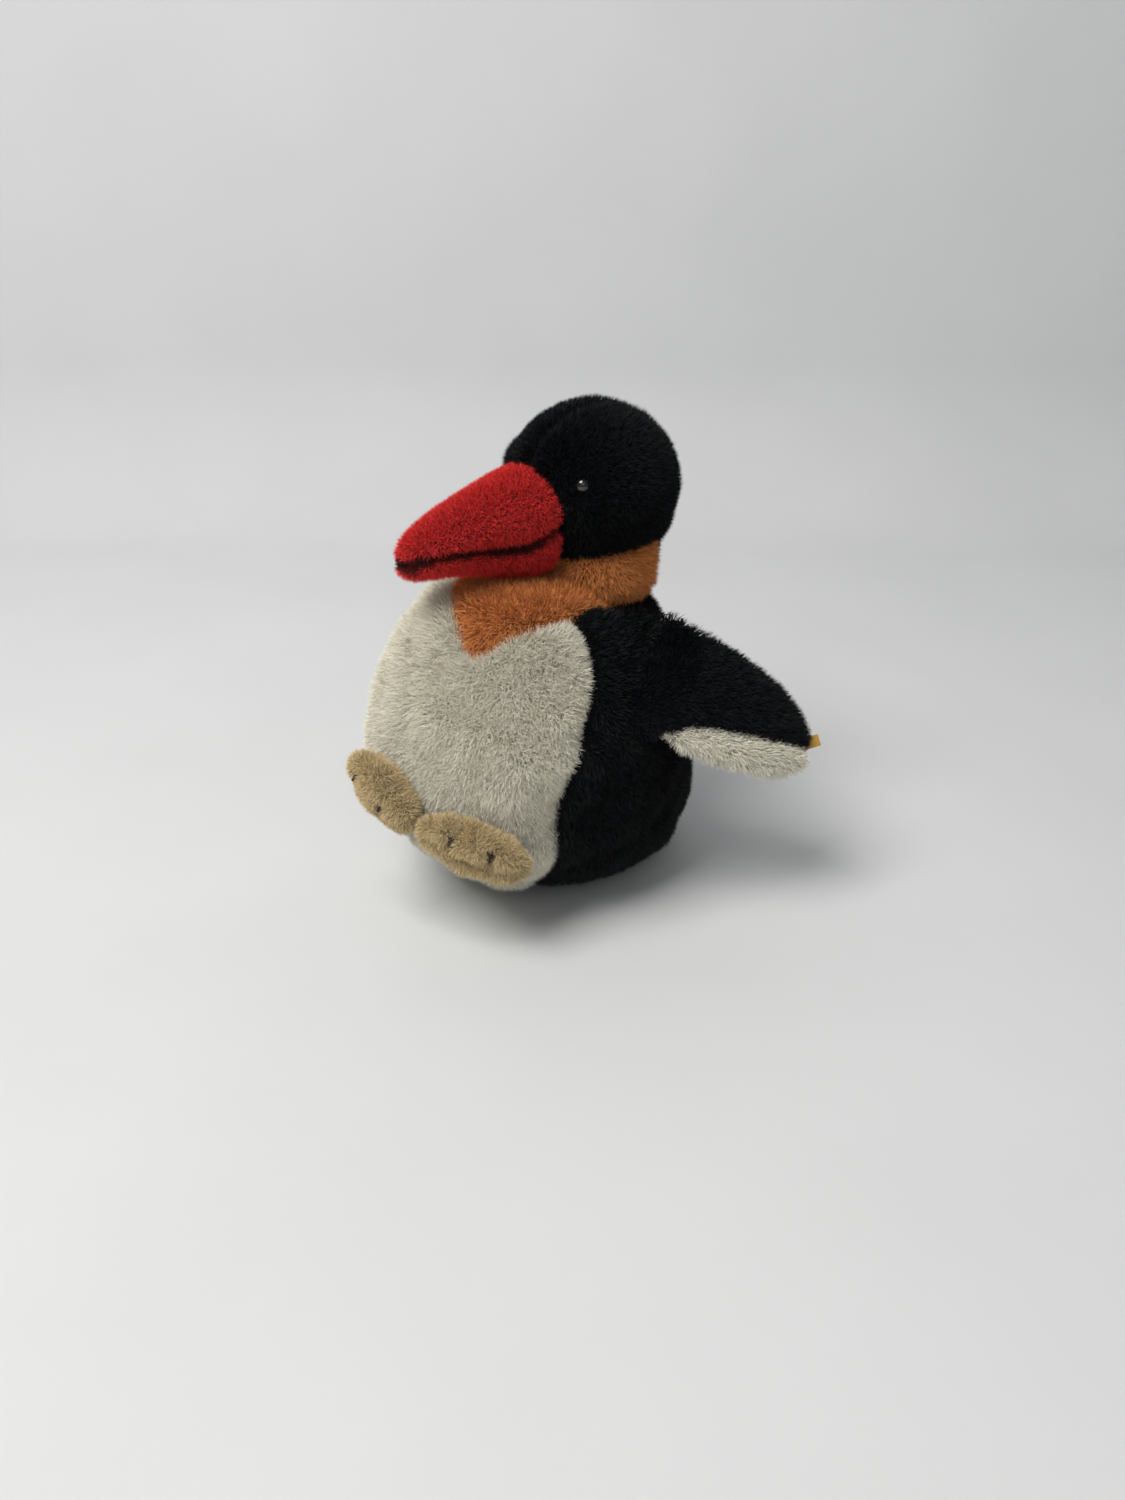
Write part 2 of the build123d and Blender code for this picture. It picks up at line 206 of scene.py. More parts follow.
def smooth_seams(points, faces, edges, rounds=10):
    """Evens out the stepped edges of the panels, and lays them back on the surface."""
    if not edges:
        return points
    surface = BVHTree.FromPolygons([Vector(p) for p in points], faces)
    ends = np.array(edges)
    on_seam = np.unique(ends)
    count = np.bincount(ends.ravel(), minlength=len(points))
    result = points.copy()
    for _ in range(rounds):
        total = np.zeros_like(points)
        np.add.at(total, ends[:, 0], result[ends[:, 1]])
        np.add.at(total, ends[:, 1], result[ends[:, 0]])
        average = total[on_seam] / count[on_seam][:, None]
        result[on_seam] = result[on_seam] * 0.5 + average * 0.5
    for i in on_seam:
        result[i] = surface.find_nearest(Vector(result[i]))[0]
    return result


def nearest_distance(points, targets):
    """Distance in millimetres from each point to the nearest target."""
    tree = KDTree(len(targets))
    for i, target in enumerate(targets):
        tree.insert(Vector(target), i)
    tree.balance()
    return np.array([tree.find(Vector(p))[2] for p in points]) / MM


def puffed(points, faces, seam_points, cap):
    """How far each point moves when the filling presses the cloth out between its seams (metres)."""
    coarse_points, coarse_faces = even_grid(points, faces, COARSE_GRID)
    thing = new_object("puff", coarse_points, coarse_faces)
    near = nearest_distance(coarse_points, seam_points)
    pinned = thing.vertex_groups.new(name="seam")
    for i, distance in enumerate(near):
        pinned.add([i], 1.0 if distance < COARSE_GRID else 0.0, "REPLACE")
    cloth = thing.modifiers.new("cloth", "CLOTH")
    fabric = cloth.settings
    fabric.quality = 6
    fabric.mass = 0.15
    fabric.tension_stiffness = 12
    fabric.compression_stiffness = 12
    fabric.shear_stiffness = 4
    fabric.bending_stiffness = 0.3
    fabric.use_pressure = True
    fabric.uniform_pressure_force = CLOTH_PRESSURE
    fabric.vertex_group_mass = "seam"
    fabric.effector_weights.gravity = 0.0
    cloth.point_cache.frame_start = 1
    cloth.point_cache.frame_end = CLOTH_FRAMES
    scene = bpy.context.scene
    for number in range(1, CLOTH_FRAMES + 1):
        scene.frame_set(number)
    mesh = finished_mesh(thing)
    moved = mesh_arrays(mesh)[0] - coarse_points
    bpy.data.meshes.remove(mesh)
    drop(thing)
    scene.frame_set(1)
    length = np.linalg.norm(moved, axis=1, keepdims=True)
    moved *= np.minimum(1.0, cap * MM / np.maximum(length, 1e-9))
    tree = KDTree(len(coarse_points))
    for i, point in enumerate(coarse_points):
        tree.insert(Vector(point), i)
    tree.balance()
    result = np.zeros_like(points)
    for i, point in enumerate(points):
        found = tree.find_n(Vector(point), 4)
        weights = np.array([1.0 / (hit[2] + 1.0 * MM) ** 2 for hit in found])
        result[i] = (weights[:, None] * moved[[hit[1] for hit in found]]).sum(axis=0) / weights.sum()
    return result


class Skin:
    """A stuffed form covered in sewn panels."""

    def __init__(self, panels, filling, centre, level, inset, shape=None, pattern=None, groove=1.0, cap=1.4):
        points, faces = wrap(panels, filling, [c * MM for c in centre], level)
        points = points - vertex_normals(points, faces) * inset * MM
        if shape is not None:
            points = shape(points / MM) * MM
        points, faces = even_grid(points, faces, FINE_GRID)
        if pattern is None:
            label = panel_labels(points, faces, panels, PANEL_REACH)
        else:
            label = pattern(np.array([points[list(f)].mean(axis=0) for f in faces]) / MM)
        edges = seam_edges(faces, label)
        points = smooth_seams(points, faces, edges)
        seam_points = points[np.unique(np.array(edges))]
        points = points + puffed(points, faces, seam_points, cap)
        seam_points = points[np.unique(np.array(edges))]
        normals = vertex_normals(points, faces)
        self.seam = nearest_distance(points, seam_points)
        points = points - normals * (groove * MM * bump(self.seam, 2.2))[:, None]
        points[:, 2] = np.maximum(points[:, 2], TABLE_GAP * MM)
        self.points = points
        self.faces = faces
        self.label = label
        self.panels = panels
        self.normals = vertex_normals(points, faces)

    def part(self, name):
        """Points, faces, normals and seam distances of one panel."""
        number = self.panels.index(name)
        chosen = [f for f, lab in zip(self.faces, self.label) if lab == number]
        used = np.unique(np.array([i for f in chosen for i in f]))
        place = {old: new for new, old in enumerate(used)}
        faces = [tuple(place[i] for i in f) for f in chosen]
        return self.points[used], faces, self.normals[used], self.seam[used]


# ---- node trees --------------------------------------------------------------------------------
class Wiring:
    """Adds nodes to a tree; a value given for a socket is either a number or another node's output."""

    def __init__(self, tree):
        self.tree = tree

    def add(self, kind, values=(), **settings):
        node = self.tree.nodes.new(kind)
        for name, value in settings.items():
            setattr(node, name, value)
        for key, value in dict(values).items():
            if isinstance(value, bpy.types.NodeSocket):
                self.tree.links.new(value, node.inputs[key])
            else:
                node.inputs[key].default_value = value
        return node

    def sum(self, operation, *values):
        return self.add("ShaderNodeMath", dict(enumerate(values)), operation=operation).outputs[0]

    def vector(self, operation, *values):
        return self.add("ShaderNodeVectorMath", dict(enumerate(values)), operation=operation).outputs[0]

    def scaled(self, vector, factor):
        values = {"Vector": vector, "Scale": factor}
        return self.add("ShaderNodeVectorMath", values, operation="SCALE").outputs[0]


def sockets(tree, way, table):
    """Makes the tree's named inputs or outputs from (name, type, default)."""
    for name, kind, default in table:
        socket = tree.interface.new_socket(name, in_out=way, socket_type="NodeSocket" + kind)
        if default is not None:
            socket.default_value = default


def pile_tree():
    """Sewn cloth in, a coat of separate curved strands out."""
    tree = bpy.data.node_groups.new("plush pile", "GeometryNodeTree")
    sockets(tree, "INPUT", [
        ("Cloth", "Geometry", None),
        ("Strand", "Object", None),
        ("Strands per area", "Float", 5.0e6),
        ("Width", "Float", 0.0003),
        ("Length spread", "Float", 0.2),
        ("Scatter", "Float", 0.3),
        ("Clump", "Float", 0.4),
        ("Clump scale", "Float", 220.0),
        ("Curl", "Float", 0.0),
        ("Seed", "Int", 1),
        ("Finish", "Material", None),
    ])
    sockets(tree, "OUTPUT", [("Pile", "Geometry", None)])
    w = Wiring(tree)
    given = w.add("NodeGroupInput").outputs

    def attribute(name, kind="FLOAT"):
        return w.add("GeometryNodeInputNamedAttribute", {"Name": name}, data_type=kind).outputs[0]

    def random(low, high, offset):
        seed = w.sum("ADD", given["Seed"], float(offset))
        kind = "FLOAT_VECTOR" if isinstance(low, tuple) else "FLOAT"
        node = w.add("FunctionNodeRandomValue", data_type=kind)
        first = 0 if kind == "FLOAT_VECTOR" else 2
        node.inputs[first].default_value = low
        node.inputs[first + 1].default_value = high
        tree.links.new(seed, node.inputs["Seed"])
        return node.outputs[0 if kind == "FLOAT_VECTOR" else 1]

    density = w.sum("MULTIPLY", given["Strands per area"], attribute("grow"))
    scattered = w.add("GeometryNodeDistributePointsOnFaces", {
        "Mesh": given["Cloth"], "Density": density, "Seed": given["Seed"],
    })
    place = w.add("GeometryNodeInputPosition").outputs[0]
    broad = w.add("ShaderNodeTexNoise", {"Vector": place, "Scale": given["Clump scale"], "Detail": 2.0})
    finer = w.sum("MULTIPLY", given["Clump scale"], 2.7)
    fine = w.add("ShaderNodeTexNoise", {"Vector": place, "Scale": finer})
    middle = (0.5, 0.5, 0.5)
    tufts = w.scaled(w.vector("SUBTRACT", broad.outputs[1], middle), given["Clump"])
    tufts = w.vector("ADD", tufts, w.scaled(w.vector("SUBTRACT", fine.outputs[1], middle), given["Clump"]))
    way = w.vector("ADD", scattered.outputs["Normal"], attribute("comb", "FLOAT_VECTOR"))
    way = w.vector("ADD", way, tufts)
    stray = random((-1.0, -1.0, -1.0), (1.0, 1.0, 1.0), 11)
    way = w.vector("ADD", way, w.scaled(stray, given["Scatter"]))
    way = w.vector("NORMALIZE", way)
    bend = w.vector("ADD", attribute("comb", "FLOAT_VECTOR"),
                    w.scaled(random((-1.0, -1.0, -1.0), (1.0, 1.0, 1.0), 23), 0.6))
    turn = w.add("FunctionNodeAxesToRotation", {0: way, 1: bend}, primary_axis="Z", secondary_axis="X")
    # tufts stand at slightly different heights
    patchy = w.sum("ADD", w.sum("MULTIPLY", broad.outputs[0], 0.5), 0.75)
    length = w.sum("MULTIPLY", attribute("reach"), patchy)
    spread = w.sum("SUBTRACT", 1.0, w.sum("MULTIPLY", random(0.0, 1.0, 37), given["Length spread"]))
    length = w.sum("MULTIPLY", length, spread)
    curled = w.sum("MULTIPLY", length, w.sum("ADD", 1.0, given["Curl"]))
    size = w.add("ShaderNodeCombineXYZ", {0: curled, 1: given["Width"], 2: length}).outputs[0]
    toned = w.add("GeometryNodeStoreNamedAttribute", {
        "Geometry": scattered.outputs["Points"], "Name": "strand_tone",
        "Value": w.sum("ADD", attribute("tone"), random(0.0, 0.3, 41)),
    }, data_type="FLOAT", domain="POINT")
    strand = w.add("GeometryNodeObjectInfo", {"Object": given["Strand"]})
    planted = w.add("GeometryNodeInstanceOnPoints", {
        "Points": toned.outputs[0], "Instance": strand.outputs["Geometry"],
        "Rotation": turn.outputs[0], "Scale": size,
    })
    real = w.add("GeometryNodeRealizeInstances", {"Geometry": planted.outputs[0]})
    across = w.sum("ADD", attribute("strand_tone"), w.sum("MULTIPLY", attribute("side"), 0.006))
    map_place = w.add("ShaderNodeCombineXYZ", {0: across, 1: attribute("along")}).outputs[0]
    mapped = w.add("GeometryNodeStoreNamedAttribute", {
        "Geometry": real.outputs[0], "Name": "OFBake", "Value": map_place,
    }, data_type="FLOAT2", domain="CORNER")
    painted = w.add("GeometryNodeSetMaterial", {"Geometry": mapped.outputs[0], "Material": given["Finish"]})
    w.add("NodeGroupOutput", {0: painted.outputs[0]})
    return tree


def strand_template():
    """One strand, one unit high: a narrow blade that curves over to +X and comes to a point."""
    rows = [(0.0, 0.5, -0.05), (0.08, 0.42, 0.52)]
    points = [(x, side * half, z) for x, half, z in rows for side in (-1, 1)] + [(0.30, 0.0, 1.0)]
    faces = [(0, 2, 3), (0, 3, 1), (2, 4, 3)]
    thing = new_object("strand", points, faces)
    for name, values in (("side", (-1, 1, -0.8, 0.8, 0)), ("along", (0.0, 0.0, 0.55, 0.55, 1.0))):
        layer = thing.data.attributes.new(name, "FLOAT", "POINT")
        layer.data.foreach_set("value", [float(v) for v in values])
    return thing


PILE = pile_tree()
STRAND = strand_template()


def grow_pile(name, part, reach, comb, finish, density, width=0.3, tone=0.03, grow=1.0, **inputs):
    """A coat of pile standing on a panel. Lengths and widths in millimetres, density per mm2."""
    points, faces, normals = part[:3]
    thing = new_object(name, points, faces)
    count = len(points)
    layers = {
        "reach": np.broadcast_to(np.asarray(reach, float) * MM, count),
        "grow": np.broadcast_to(np.asarray(grow, float), count),
        "tone": np.broadcast_to(np.asarray(tone, float), count),
    }
    for layer_name, values in layers.items():
        layer = thing.data.attributes.new(layer_name, "FLOAT", "POINT")
        layer.data.foreach_set("value", np.ascontiguousarray(values, dtype=np.float32))
    lean = np.broadcast_to(np.asarray(comb, float), (count, 3))
    layer = thing.data.attributes.new("comb", "FLOAT_VECTOR", "POINT")
    layer.data.foreach_set("vector", np.ascontiguousarray(lean, dtype=np.float32).ravel())
    shade_smooth(thing.data)
    coat = thing.modifiers.new("pile", "NODES")
    coat.node_group = PILE
    values = {"Strand": STRAND, "Strands per area": density * 1e6, "Width": width * MM, "Finish": finish}
    values.update(inputs)
    for item in PILE.interface.items_tree:
        if item.in_out == "INPUT" and item.name in values:
            coat[item.identifier] = values[item.name]
    mesh = finished_mesh(thing)
    drop(thing)
    for extra in ("strand_tone", "side", "along", "reach", "grow", "tone", "comb"):
        if extra in mesh.attributes:
            mesh.attributes.remove(mesh.attributes[extra])
    if mesh.materials[0] is None:
        mesh.materials.pop(index=0)
    result = bpy.data.objects.new(name, mesh)
    mesh.name = name
    bpy.context.scene.collection.objects.link(result)
    return result


def filling(name, skin, body, node):
    """The wadding that fills a skin, a little smaller than it."""
    inner = skin.points - skin.normals * FILLING_DEPTH * MM
    if body.startswith("wing_"):
        side = body.split("_")[1]
        along, across, outward = wing_frame(inner / MM, side)
        stop = wing_place(np.full(len(along), WING_FILLING_START), np.clip(across, -18.0, 9.0),
                          np.clip(outward, -1.0, 1.0), side) * MM
        inner = np.where((along < WING_FILLING_START)[:, None], stop, inner)
    thing = new_object(name, inner, skin.faces)
    shade_smooth(thing.data)
    thing.data.materials.append(FINISH["filling"])
    attach(thing, body)
    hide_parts(node)
    return thing


def cloth_panel(name, part, finish):
    """A closed panel of backing cloth: the skin outside, a wall of the cloth's thickness behind it."""
    points, faces, normals = part[:3]
    inner = points - normals * CLOTH_THICK * MM
    count = len(points)
    ways = {}
    for face in faces:
        for a, b in zip(face, face[1:] + face[:1]):
            ways[(a, b)] = True
    rim = [(b, a, a + count, b + count) for a, b in ways if (b, a) not in ways]
    back = [tuple(i + count for i in reversed(face)) for face in faces]
    thing = new_object(name, np.vstack([points, inner]), list(faces) + back + rim)
    shade_smooth(thing.data)
    thing.data.materials.append(finish)
    return thing


# ---- finishes ------------------------------------------------------------------------------------
def group_tree(name, inputs, outputs):
    tree = bpy.data.node_groups.new(name, "ShaderNodeTree")
    sockets(tree, "INPUT", inputs)
    sockets(tree, "OUTPUT", outputs)
    return tree, Wiring(tree)


def pile_shade_group():
    """Darkens a strand towards its root as painted shade, where its neighbours shade it, and lightens its tip
    as a painted highlight.
    """
    tree, w = group_tree("pile shade", [
        ("Colour", "Color", (0.5, 0.5, 0.5, 1.0)),
        ("Along", "Float", 0.5),
        ("Root shade", "Float", 0.5),
        ("Tip light", "Float", 1.1),
    ], [("Colour", "Color", None)])
    given = w.add("NodeGroupInput").outputs
    eased = w.sum("POWER", given["Along"], 0.7)
    level = w.add("ShaderNodeMix", {0: eased, 2: given["Root shade"], 3: given["Tip light"]}).outputs[0]
    shaded = w.scaled(given["Colour"], level)
    w.add("NodeGroupOutput", {0: shaded})
    return tree


def weave_group():
    """Height and shade of a plain weave on a piece's own coordinates."""
    tree, w = group_tree("plain weave", [
        ("Place", "Vector", (0.0, 0.0, 0.0)),
        ("Threads per metre", "Float", 2500.0),
        ("Slubs", "Float", 0.3),
    ], [("Height", "Float", None), ("Shade", "Float", None)])
    given = w.add("NodeGroupInput").outputs
    place = w.scaled(given["Place"], given["Threads per metre"])
    axes = w.add("ShaderNodeSeparateXYZ", {0: place}).outputs
    warp = w.sum("SINE", w.sum("ADD", axes[0], axes[2]))
    weft = w.sum("SINE", w.sum("SUBTRACT", axes[1], axes[2]))
    crossed = w.sum("MULTIPLY", warp, weft)
    drift = w.add("ShaderNodeTexNoise", {"Vector": given["Place"], "Scale": 400.0, "Detail": 3.0}).outputs[0]
    height = w.sum("ADD", w.sum("MULTIPLY", crossed, 0.5), w.sum("MULTIPLY", drift, given["Slubs"]))
    shade = w.sum("ADD", 0.85, w.sum("MULTIPLY", height, 0.15))
    w.add("NodeGroupOutput", {0: height, 1: shade})
    return tree


PILE_SHADE = pile_shade_group()
WEAVE = weave_group()


def material(name, **sockets_set):
    """A material with a Principled shader; returns it with its wiring and shader."""
    result = bpy.data.materials.new(name)
    result.use_nodes = True
    tree = result.node_tree
    tree.nodes.clear()
    w = Wiring(tree)
    shader = w.add("ShaderNodeBsdfPrincipled", {key.replace("_", " "): v for key, v in sockets_set.items()})
    w.add("ShaderNodeOutputMaterial", {"Surface": shader.outputs[0]})
    return result, w, shader


def ramp(w, value, stops):
    node = w.add("ShaderNodeValToRGB", {0: value})
    elements = node.color_ramp.elements
    while len(elements) < len(stops):
        elements.new(0.5)
    for element, (place, colour) in zip(elements, stops):
        element.position = place
        element.color = (*colour, 1.0)
    return node.outputs[0]


def pile_finish(name, stops, root_shade, tip_light, roughness=0.7, sheen=0.25, sheen_tint=(1, 1, 1),
                gloss=0.3):
    """Pile whose colour is read along each strand and differs a little from strand to strand."""
    result, w, shader = material(
        name, Roughness=roughness, Sheen_Weight=sheen, Sheen_Roughness=0.4,
        Sheen_Tint=(*sheen_tint, 1.0), Specular_IOR_Level=gloss,
    )
    axes = w.add("ShaderNodeSeparateXYZ", {0: w.add("ShaderNodeUVMap", uv_map="OFBake").outputs[0]}).outputs
    colour = ramp(w, axes[0], stops)
    shade = w.add("ShaderNodeGroup", node_tree=PILE_SHADE)
    w.tree.links.new(colour, shade.inputs["Colour"])
    w.tree.links.new(axes[1], shade.inputs["Along"])
    shade.inputs["Root shade"].default_value = root_shade
    shade.inputs["Tip light"].default_value = tip_light
    w.tree.links.new(shade.outputs[0], shader.inputs["Base Color"])
    return result


def cloth_finish(name, dark, light, roughness=0.9, threads=2600.0, bump=0.4):
    """Woven or knitted cloth."""
    result, w, shader = material(name, Roughness=roughness, Sheen_Weight=0.2, Specular_IOR_Level=0.2)
    place = w.add("ShaderNodeTexCoord").outputs["Object"]
    weave = w.add("ShaderNodeGroup", node_tree=WEAVE)
    w.tree.links.new(place, weave.inputs["Place"])
    weave.inputs["Threads per metre"].default_value = threads
    colour = ramp(w, weave.outputs["Shade"], [(0.7, dark), (1.0, light)])
    w.tree.links.new(colour, shader.inputs["Base Color"])
    relief = {"Strength": bump, "Distance": 0.0002, "Height": weave.outputs["Height"]}
    raised = w.add("ShaderNodeBump", relief)
    w.tree.links.new(raised.outputs[0], shader.inputs["Normal"])
    return result


def speckled_finish(name, dark, light, scale, roughness, bump=0.2, cells=False, **sockets_set):
    """Moulded plastic, wadding, pellets and thread: a colour that drifts, over a fine relief."""
    result, w, shader = material(name, Roughness=roughness, **sockets_set)
    place = w.add("ShaderNodeTexCoord").outputs["Object"]
    kind = "ShaderNodeTexVoronoi" if cells else "ShaderNodeTexNoise"
    pattern = w.add(kind, {"Vector": place, "Scale": scale}).outputs[0]
    if not cells:
        pattern.node.inputs["Detail"].default_value = 6.0
    colour = ramp(w, pattern, [(0.3, dark), (0.7, light)])
    w.tree.links.new(colour, shader.inputs["Base Color"])
    raised = w.add("ShaderNodeBump", {"Strength": bump, "Distance": 0.0005, "Height": pattern})
    w.tree.links.new(raised.outputs[0], shader.inputs["Normal"])
    return result


STAINED = 0.62      # a strand whose tone is past this takes the finish's stain colour
BLACK_STOPS = [(0.0, (0.0012, 0.0018, 0.0026)), (0.35, (0.0030, 0.0042, 0.0056)),
               (0.6, (0.008, 0.010, 0.012))]
WHITE_STOPS = [(0.0, (0.83, 0.79, 0.66)), (0.35, (0.92, 0.90, 0.80)), (0.6, (0.45, 0.40, 0.30))]
ORANGE_STOPS = [(0.0, (0.70, 0.25, 0.066)), (0.35, (0.86, 0.38, 0.13)), (0.6, (0.40, 0.12, 0.027))]
RED_STOPS = [(0.0, (0.74, 0.034, 0.032)), (0.35, (0.92, 0.055, 0.052)), (0.52, (0.36, 0.012, 0.012)),
             (0.68, (0.026, 0.004, 0.004))]
BEIGE_STOPS = [(0.0, (0.68, 0.53, 0.29)), (0.35, (0.84, 0.70, 0.44)), (0.52, (0.28, 0.18, 0.08)),
               (0.68, (0.020, 0.012, 0.008))]
FINISH = {
    # After its stops, each pile gets its painted root shade and its painted tip highlight.
    "black_pile": pile_finish("black pile", BLACK_STOPS, 0.3, 1.5, 0.6, 0.03, (0.75, 0.85, 1.0), 0.22),
    "white_pile": pile_finish("white pile", WHITE_STOPS, 0.75, 1.05, 0.8, 0.3),
    "orange_pile": pile_finish("orange pile", ORANGE_STOPS, 0.45, 1.15, 0.75, 0.3, (1.0, 0.8, 0.5)),
    "red_pile": pile_finish("red pile", RED_STOPS, 0.4, 1.15, 0.7, 0.25, (1.0, 0.5, 0.45)),
    "beige_pile": pile_finish("beige pile", BEIGE_STOPS, 0.4, 1.1, 0.8, 0.3, (1.0, 0.9, 0.7)),
    # The backing cloths under the white, orange, red and beige pile are darker copies of their pile colours:
    # painted shade for the depths between the strands.
    "black_cloth": cloth_finish("black backing cloth", (0.0015, 0.002, 0.0025), (0.004, 0.005, 0.006)),
    "white_cloth": cloth_finish("white backing cloth", (0.36, 0.34, 0.27), (0.48, 0.46, 0.38)),
    "orange_cloth": cloth_finish("orange backing cloth", (0.22, 0.06, 0.012), (0.32, 0.10, 0.022)),
    "red_cloth": cloth_finish("red backing cloth", (0.14, 0.004, 0.004), (0.22, 0.007, 0.007)),
    "beige_cloth": cloth_finish("beige backing cloth", (0.15, 0.10, 0.045), (0.24, 0.17, 0.08)),
    "base_cloth": cloth_finish("base cloth", (0.006, 0.007, 0.008), (0.022, 0.023, 0.025), threads=4200.0),
    "bag_cloth": cloth_finish("pellet bag cloth", (0.55, 0.54, 0.50), (0.78, 0.77, 0.72), threads=3600.0),
    "filling": speckled_finish("polyester fibre", (0.70, 0.70, 0.68), (0.88, 0.88, 0.86), 900.0, 0.95, 0.9,
                               Sheen_Weight=0.3),
    "pellets": speckled_finish("pellets", (0.35, 0.36, 0.36), (0.82, 0.83, 0.80), 450.0, 0.35, 1.0, True),
    "plastic": speckled_finish("joint plastic", (0.70, 0.69, 0.64), (0.80, 0.79, 0.75), 300.0, 0.38, 0.05),
    "eye": speckled_finish("eye bead", (0.0015, 0.0015, 0.002), (0.004, 0.004, 0.005), 700.0, 0.06, 0.02,
                           Coat_Weight=1.0, Coat_Roughness=0.03, Specular_IOR_Level=0.6),
    "thread": speckled_finish("dark thread", (0.010, 0.006, 0.004), (0.045, 0.026, 0.016), 2500.0, 0.7, 0.8),
    "ribbon": cloth_finish("ochre ribbon", (0.50, 0.26, 0.045), (0.78, 0.46, 0.10), 0.55, 5200.0, 0.6),
}


def dress_node(name, finish):
    """Gives a CAD node that stays in view its finish."""
    mesh = NODES[name].data
    mesh.materials.clear()
    mesh.materials.append(FINISH[finish])


# ---- the sewing pattern ---------------------------------------------------------------------------
SIDE_SEAM = [(-5, -40), (12, -52), (32, -56.5), (48, -58), (59, -56), (70, -50), (84, -43), (94, -37.5),
             (115, -30)]       # height, place along Y
FAR_SEAM_BACK = 9.0        # the right side seam lies this much further back
BIB_OUTLINE = [(-35, -10), (-29, -31), (-20, -45), (-11, -53.5), (0, -60), (10, -65), (16, -64),
               (19.5, -57.5), (23.5, -50), (25.5, -44), (25, -37), (21, -25), (16, -5)]     # from above
BIB_LOWEST = 86.0
BASE_EDGE = 3.2            # the base panel's seam above the table
BASE_REACH = 60.0
NECK = (0.0, 2.0, 98.0)
BODY_MIDDLE = (0.0, -28.0, 50.0)
HEAD_TURN = math.radians(-9.0)
HEAD_CENTRE_Z = 136.0
HEAD_RADIUS = 27.6
CHEEK_TOP = (119.0, 117.0, 112.5)      # top edge of the cheek band at the nape, below the eye, at the beak
NAPE = 13.0
BEAK_LINE = [(10, 34.5), (22, 34), (37, 31.8), (53, 28), (66, 23.9), (72.4, 21.8),
             (75.2, 21)]       # forward, height above the neck
MOUTH = [(22, -3.5), (27, -5.2), (31, -8.0), (37, -8.9), (47.5, -5.6), (55.5, -3.2), (64, -0.6),
         (71, 0.6), (76, 0.8)]       # forward, above the beak's middle line
MOUTH_CORNER = 26.0
WING_ROOT = np.array([50.5, -10.0, 85.5])
WING_ALONG = unit(np.array([0.506, 0.70, -0.506]))
WING_ACROSS = unit(np.array([-0.291, 0.689, 0.664]))
WING_OUTWARD = np.cross(WING_ALONG, WING_ACROSS)
WING_FILLING_START = 6.0   # the wadding of a wing ends this far from its root
MIRROR = np.array([-1.0, 1.0, 1.0])
BODY_LUMPS = (2.2, 11.0, 3.7)          # height, size, and where in the pattern they start
FOOT_LUMPS = (2.2, 6.0, 9.3)


def lumpy(points, way, amount, size, shift):
    """Hand-stuffed cloth is never quite even."""
    bumps = np.array([noise.noise(Vector(p / size + shift)) for p in points])
    return points + way * (bumps * amount)[:, None]


def interpolated(value, table):
    return np.interp(value, [row[0] for row in table], [row[1] for row in table])


def inside_outline(x, y, outline):
    inside = np.zeros(len(x), bool)
    for (ax, ay), (bx, by) in zip(outline, outline[1:] + outline[:1]):
        crosses = (ay > y) != (by > y)
        inside ^= crosses & (x < (bx - ax) * (y - ay) / (by - ay + 1e-12) + ax)
    return inside


def torso_pattern(middles):
    """Which torso panel each place belongs to; panels in the order of TORSO_PANELS."""
    x, y, z = middles.T
    seam = interpolated(z, SIDE_SEAM) + np.where(x < 0, FAR_SEAM_BACK, 0.0)
    front = y < seam
    bib = inside_outline(x, y, BIB_OUTLINE) & (z > BIB_LOWEST)
    label = np.where(front, 1, np.where(x > 0, 3, 4))
    label = np.where(bib, 2, label)
    return np.where((z < BASE_EDGE) & (np.hypot(x, y + 10) < BASE_REACH), 0, label)


def head_frame(points):
    """Points in the head's own frame: forward is -Y, height above the neck is Z."""
    moved = points - np.array(NECK)
    c, s = math.cos(-HEAD_TURN), math.sin(-HEAD_TURN)
    return np.stack([c * moved[:, 0] - s * moved[:, 1], s * moved[:, 0] + c * moved[:, 1],
                     moved[:, 2]], axis=1)


def from_head_frame(vectors):
    c, s = math.cos(HEAD_TURN), math.sin(HEAD_TURN)
    return np.stack([c * vectors[:, 0] - s * vectors[:, 1], s * vectors[:, 0] + c * vectors[:, 1],
                     vectors[:, 2]], axis=1)


def head_pattern(middles):
    x, y, z = head_frame(middles).T
    nape, side, beak = (top - NECK[2] for top in CHEEK_TOP)
    edge = np.interp(y, [-28.0, -6.0, NAPE], [beak, side, nape])
    cheek = (z < edge) & (y < NAPE)
    return np.where(cheek, 2, np.where(x > 0, 0, 1))


def beak_pattern(middles):
    local = head_frame(middles)
    above = local[:, 2] - interpolated(-local[:, 1], BEAK_LINE)
    return np.where(above > interpolated(-local[:, 1], MOUTH), 0, 1)


def wing_frame(points, side):
    local = points * (MIRROR if side == "right" else 1.0) - WING_ROOT
    return local @ WING_ALONG, local @ WING_ACROSS, local @ WING_OUTWARD


def wing_place(along, across, outward, side):
    """Back from a wing's own directions to the toy's."""
    place = (WING_ROOT + along[:, None] * WING_ALONG + across[:, None] * WING_ACROSS
             + outward[:, None] * WING_OUTWARD)
    return place * (MIRROR if side == "right" else 1.0)


TORSO_PANELS = ["base_panel", "belly_panel", "throat_bib", "back_panel_left", "back_panel_right"]
HEAD_PANELS = ["hood_left", "hood_right", "cheek_band"]


# ---- the torso -------------------------------------------------------------------------------------
# how far the chest rises: by distance from the neck, and by bearing round it
CHEST_RISE = [(13, 0), (19, 8), (26, 10), (50, 11.5), (57, 11.5), (63, 8.5), (70, 4), (78, 0)]
CHEST_FACES = [(-120, 0.0), (-85, 0.85), (-60, 1.0), (20, 1.0), (42, 0.55), (62, 0.0)]


